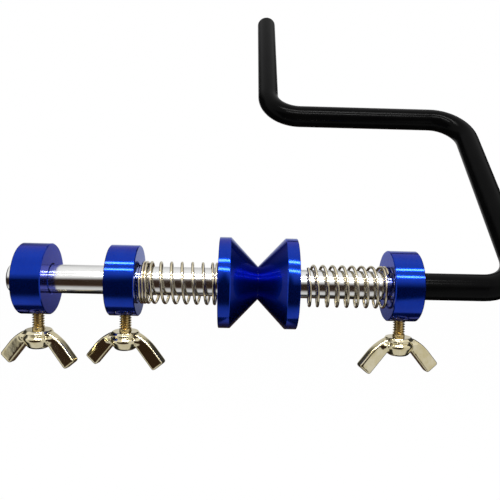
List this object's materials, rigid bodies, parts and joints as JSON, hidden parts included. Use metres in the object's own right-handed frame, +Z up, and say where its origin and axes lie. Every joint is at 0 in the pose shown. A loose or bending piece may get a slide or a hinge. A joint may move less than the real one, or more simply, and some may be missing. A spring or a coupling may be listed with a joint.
{
  "type": "fishing line winder",
  "caption": "Line winder: a bent bar carries a shaft on which two spring-loaded cones grip a spool, with set collars and wing screws.",
  "frame": {"origin": "on the shaft's axis, where the tips of the two cones meet", "axes": "+X along the shaft towards the bar's side leg, +Z up, so that the wing screws point down but for a lean of a few degrees, and +Y away from the viewer, where the bow leans back"},
  "size_m": [0.2277, 0.1602, 0.2051],
  "materials": {
    "black_paint": "gloss black paint",
    "polished_steel": "ground and polished",
    "blue_anodised": "turned and anodised blue, glossy",
    "spring_wire": "nickel-plated wire",
    "yellow_zinc": "yellow zinc plate",
    "cast_nickel": "nickel-plated casting"
  },
  "bodies": {
    "frame": {"frame_bar": "black_paint", "shaft": "polished_steel"},
    "collar_1": {"collar_1": "blue_anodised"},
    "collar_2": {"collar_2": "blue_anodised"},
    "collar_3": {"collar_3": "blue_anodised"},
    "left_spring": {"left_spring": "spring_wire"},
    "left_cone": {"left_cone": "blue_anodised"},
    "right_spring": {"right_spring": "spring_wire"},
    "right_cone": {"right_cone": "blue_anodised"},
    "screw_stud_1": {"screw_stud_1": "yellow_zinc"},
    "wing_head_1": {"wing_head_1": "cast_nickel"},
    "screw_stud_2": {"screw_stud_2": "yellow_zinc"},
    "wing_head_2": {"wing_head_2": "cast_nickel"},
    "screw_stud_3": {"screw_stud_3": "yellow_zinc"},
    "wing_head_3": {"wing_head_3": "cast_nickel"}
  },
  "joints": [
    {"name": "collar_1_slide", "type": "slide", "parent": "frame", "child": "collar_1", "axis": [1, 0, 0], "range_m": [-0.005, 0.018]},
    {"name": "collar_2_slide", "type": "slide", "parent": "frame", "child": "collar_2", "axis": [1, 0, 0], "range_m": [-0.018, 0]},
    {"name": "collar_3_slide", "type": "slide", "parent": "frame", "child": "collar_3", "axis": [1, 0, 0], "range_m": [0, 0.025]},
    {"name": "left_spring_slide", "type": "slide", "parent": "collar_2", "child": "left_spring", "axis": [1, 0, 0], "range_m": [-0.018, 0], "stiffness_N_per_m": 600, "springref_m": 0.0015, "deforming": ["left_spring"]},
    {"name": "left_cone_turn", "type": "hinge", "parent": "left_spring", "child": "left_cone", "pos_m": [0, 0, 0], "axis": [1, 0, 0], "continuous": true},
    {"name": "right_spring_slide", "type": "slide", "parent": "collar_3", "child": "right_spring", "axis": [1, 0, 0], "range_m": [0, 0.018], "stiffness_N_per_m": 600, "springref_m": -0.0015, "deforming": ["right_spring"]},
    {"name": "right_cone_turn", "type": "hinge", "parent": "right_spring", "child": "right_cone", "pos_m": [0, 0, 0], "axis": [1, 0, 0], "continuous": true},
    {"name": "screw_1_travel", "type": "slide", "parent": "collar_1", "child": "screw_stud_1", "axis": [0, 0.0872, -0.9962], "range_m": [0, 0.00424]},
    {"name": "screw_1_turn", "type": "hinge", "parent": "screw_stud_1", "child": "wing_head_1", "pos_m": [-0.0916, 0.00187, -0.02142], "axis": [0, 0.0872, -0.9962], "range_deg": [0, 1440]},
    {"name": "screw_2_travel", "type": "slide", "parent": "collar_2", "child": "screw_stud_2", "axis": [0, 0.0872, -0.9962], "range_m": [0, 0.00424]},
    {"name": "screw_2_turn", "type": "hinge", "parent": "screw_stud_2", "child": "wing_head_2", "pos_m": [-0.0552, 0.00187, -0.02142], "axis": [0, 0.0872, -0.9962], "range_deg": [0, 1440]},
    {"name": "screw_3_travel", "type": "slide", "parent": "collar_3", "child": "screw_stud_3", "axis": [0, 0.0523, -0.9986], "range_m": [0, 0.00424]},
    {"name": "screw_3_turn", "type": "hinge", "parent": "screw_stud_3", "child": "wing_head_3", "pos_m": [0.0602, 0.00113, -0.02147], "axis": [0, 0.0523, -0.9986], "range_deg": [0, 1440]}
  ],
  "couplings": [
    {"joint": "screw_1_turn", "follows": "screw_1_travel", "rad_per_m": 5927.5},
    {"joint": "screw_2_turn", "follows": "screw_2_travel", "rad_per_m": 5927.5},
    {"joint": "screw_3_turn", "follows": "screw_3_travel", "rad_per_m": 5927.5}
  ]
}
